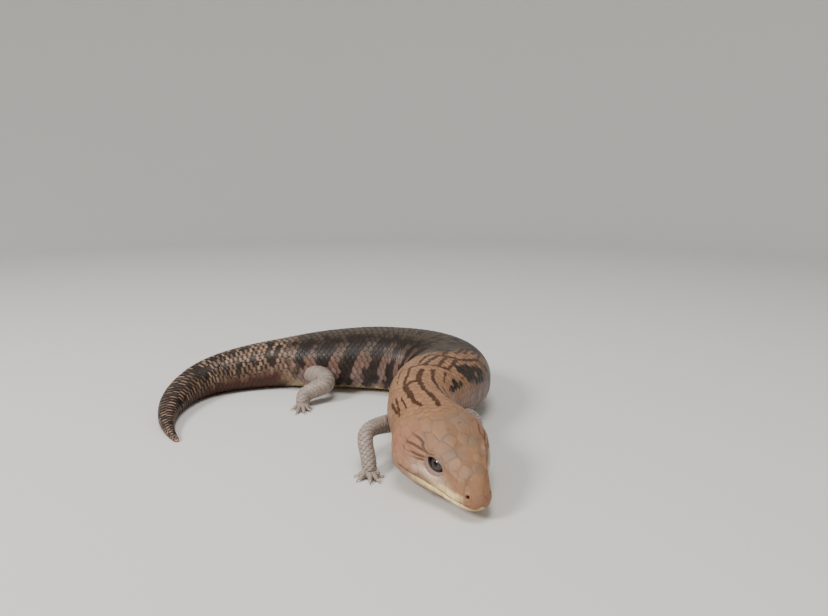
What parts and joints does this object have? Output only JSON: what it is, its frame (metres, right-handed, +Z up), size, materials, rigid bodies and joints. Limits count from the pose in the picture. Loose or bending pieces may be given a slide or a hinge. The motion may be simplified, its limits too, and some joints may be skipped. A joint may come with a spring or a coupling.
{
  "type": "blue tongued skink model",
  "caption": "Still life-size model of a blue tongued skink lying on its belly, trunk turned back in a U, tail curled and lowered head turned to one side.",
  "frame": {"origin": "on the floor, under the middle of the whole animal's footprint", "axes": "+Z up; the head looks along -Y, turned towards +X; the tail lies on the -X side"},
  "size_m": [0.2482, 0.2978, 0.0514],
  "materials": {
    "head_skin": "tan, satin scaled skin",
    "pale_skin": "cream, satin scaled skin",
    "body_skin": "banded, satin scaled skin",
    "tail_skin": "dark banded, satin scaled skin",
    "limb_skin": "grey brown, satin scaled skin",
    "eye": "wet gloss",
    "claw": "horn"
  },
  "bodies": {
    "root": {"head": "head_skin", "lower_jaw": "pale_skin", "eye_right": "eye", "eye_left": "eye", "neck": "body_skin", "torso_front": "body_skin", "torso_middle": "body_skin", "torso_rear": "body_skin", "hips": "body_skin", "tail_base": "tail_skin", "tail_middle": "tail_skin", "tail_tip": "tail_skin", "upper_arm_right": "limb_skin", "forearm_right": "limb_skin", "hand_right": "limb_skin", "upper_arm_left": "limb_skin", "forearm_left": "limb_skin", "hand_left": "limb_skin", "thigh_right": "limb_skin", "shank_right": "limb_skin", "foot_right": "limb_skin", "thigh_left": "limb_skin", "shank_left": "limb_skin", "foot_left": "limb_skin"}
  },
  "joints": []
}
